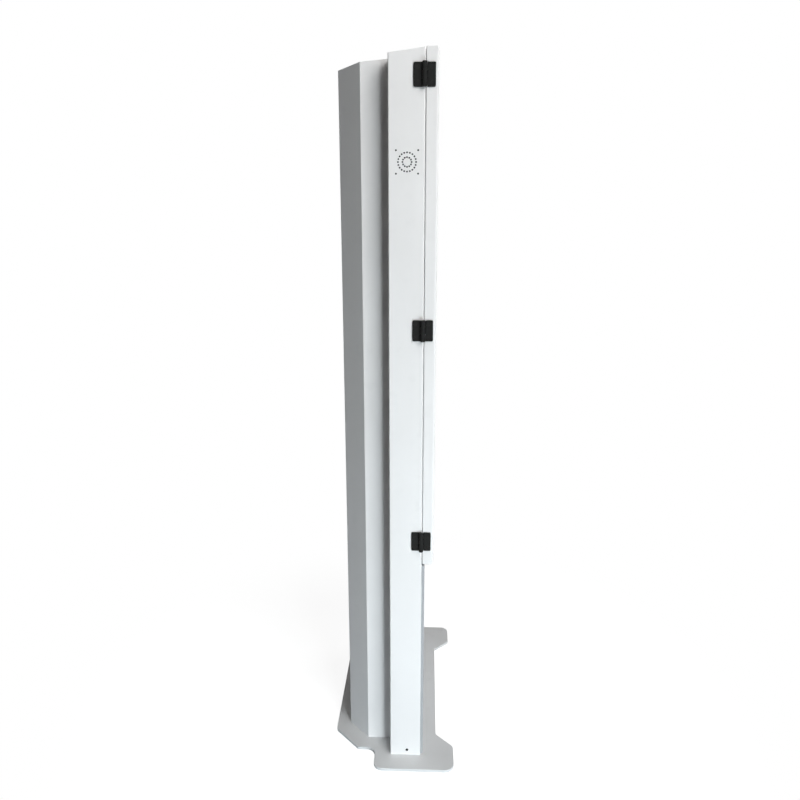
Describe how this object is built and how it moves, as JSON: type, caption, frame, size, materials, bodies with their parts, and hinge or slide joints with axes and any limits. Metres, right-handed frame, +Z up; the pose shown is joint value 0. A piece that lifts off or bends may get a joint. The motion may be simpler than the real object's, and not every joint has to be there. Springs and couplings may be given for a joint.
{
  "type": "floor-standing display kiosk",
  "caption": "Tall free-standing display kiosk: slim sheet-steel housing with a hinged glass front door, trapezoid rear column and shaped base plate.",
  "frame": {"origin": "centre of the base plate's underside, on the floor", "axes": "+Z up; -Y is the front, where the screen faces; +X to the viewer's right as they face the screen; the door hinges are on the -X side"},
  "size_m": [0.686, 0.34, 1.821],
  "materials": {
    "white_powder_coat": "fine-texture satin powder coat, white",
    "plate_powder_coat": "satin powder coat, light grey white",
    "grey_powder_coat": "satin powder coat, silver grey",
    "black_zinc": "matt black coated zinc casting",
    "black_steel": "blackened steel",
    "zinc_steel": "zinc plated",
    "galvanised_sheet": "galvanised sheet with faint spangle",
    "chrome": "polished chrome",
    "lock_steel": "bright zinc plated",
    "black_plastic": "moulded, matt",
    "rocker_plastic": "moulded, satin",
    "speaker_metal": "black coated pressed steel",
    "speaker_paper": "pressed paper cone, black",
    "rubber": "matt black rubber",
    "glass": "clear toughened glass with a black printed border",
    "display_panel": "dark display surface, switched off",
    "black_aluminium": "black anodised",
    "button_plastic": "moulded, silver grey",
    "circuit_board": "green solder mask"
  },
  "bodies": {
    "kiosk": {"base_plate": "plate_powder_coat", "foot_bolts": "zinc_steel", "housing_bracket": "galvanised_sheet", "column_bracket": "galvanised_sheet", "housing_shell": "white_powder_coat", "housing_roof": "white_powder_coat", "foot_screws": "black_steel", "lower_front_panel": "grey_powder_coat", "lower_panel_screws": "black_steel", "column_shell": "white_powder_coat", "column_roof": "white_powder_coat", "column_screws": "zinc_steel", "service_panel": "white_powder_coat", "service_panel_screws": "black_steel", "power_inlet": "black_plastic", "fan_screws": "black_steel", "cable_grommet": "rubber", "equipment_tray": "galvanised_sheet", "equipment_tray_screws": "zinc_steel", "media_player_case": "black_aluminium", "media_player_board": "circuit_board", "power_supply_case": "galvanised_sheet", "power_supply_board": "circuit_board", "terminal_block": "black_plastic", "right_speaker_frame": "speaker_metal", "right_speaker_cone": "speaker_paper", "left_speaker_frame": "speaker_metal", "left_speaker_cone": "speaker_paper", "speaker_studs": "black_steel", "hinge_pins": "black_steel", "hinge_housing_screws": "black_steel", "lock_housings": "chrome", "left_fan_frame": "black_plastic", "right_fan_frame": "black_plastic", "upper_hinge_housing_leaf": "black_zinc", "middle_hinge_housing_leaf": "black_zinc", "lower_hinge_housing_leaf": "black_zinc"},
    "door": {"hinge_door_screws": "black_steel", "lock_catches": "galvanised_sheet", "door_frame": "white_powder_coat", "door_glass": "glass", "glass_rails": "galvanised_sheet", "display_gasket": "rubber", "display_tray": "galvanised_sheet", "lcd_panel": "display_panel", "display_crossbars": "galvanised_sheet", "display_driver_cover": "galvanised_sheet", "door_seal": "rubber", "upper_hinge_door_leaf": "black_zinc", "middle_hinge_door_leaf": "black_zinc", "lower_hinge_door_leaf": "black_zinc"},
    "rocker": {"power_rocker": "rocker_plastic"},
    "left_rotor": {"left_fan_rotor": "black_plastic"},
    "right_rotor": {"right_fan_rotor": "black_plastic"},
    "player_button": {"media_player_button": "button_plastic"},
    "upper_lock": {"upper_lock_plug": "chrome", "upper_lock_cam": "lock_steel"},
    "lower_lock": {"lower_lock_plug": "chrome", "lower_lock_cam": "lock_steel"}
  },
  "joints": [
    {"name": "door_swing", "type": "hinge", "parent": "kiosk", "child": "door", "pos_m": [-0.298, -0.0745, 1.2], "axis": [0, 0, -1], "range_deg": [0, 170]},
    {"name": "upper_lock_turn", "type": "hinge", "parent": "kiosk", "child": "upper_lock", "pos_m": [0.288, -0.048, 1.46], "axis": [-1, 0, 0], "range_deg": [0, 90]},
    {"name": "lower_lock_turn", "type": "hinge", "parent": "kiosk", "child": "lower_lock", "pos_m": [0.288, -0.048, 0.9], "axis": [-1, 0, 0], "range_deg": [0, 90]},
    {"name": "left_fan_spin", "type": "hinge", "parent": "kiosk", "child": "left_rotor", "pos_m": [-0.06, 0.117, 1.6805], "axis": [0, 1, 0], "continuous": true},
    {"name": "right_fan_spin", "type": "hinge", "parent": "kiosk", "child": "right_rotor", "pos_m": [0.06, 0.117, 1.6805], "axis": [0, 1, 0], "continuous": true},
    {"name": "power_rocker_tilt", "type": "hinge", "parent": "kiosk", "child": "rocker", "pos_m": [-0.09, 0.12875, 0.14032], "axis": [-1, 0, 0], "range_deg": [0, 16]},
    {"name": "player_button_press", "type": "slide", "parent": "kiosk", "child": "player_button", "axis": [0, 1, 0], "range_m": [0, 0.0015], "stiffness_N_per_m": 300}
  ]
}
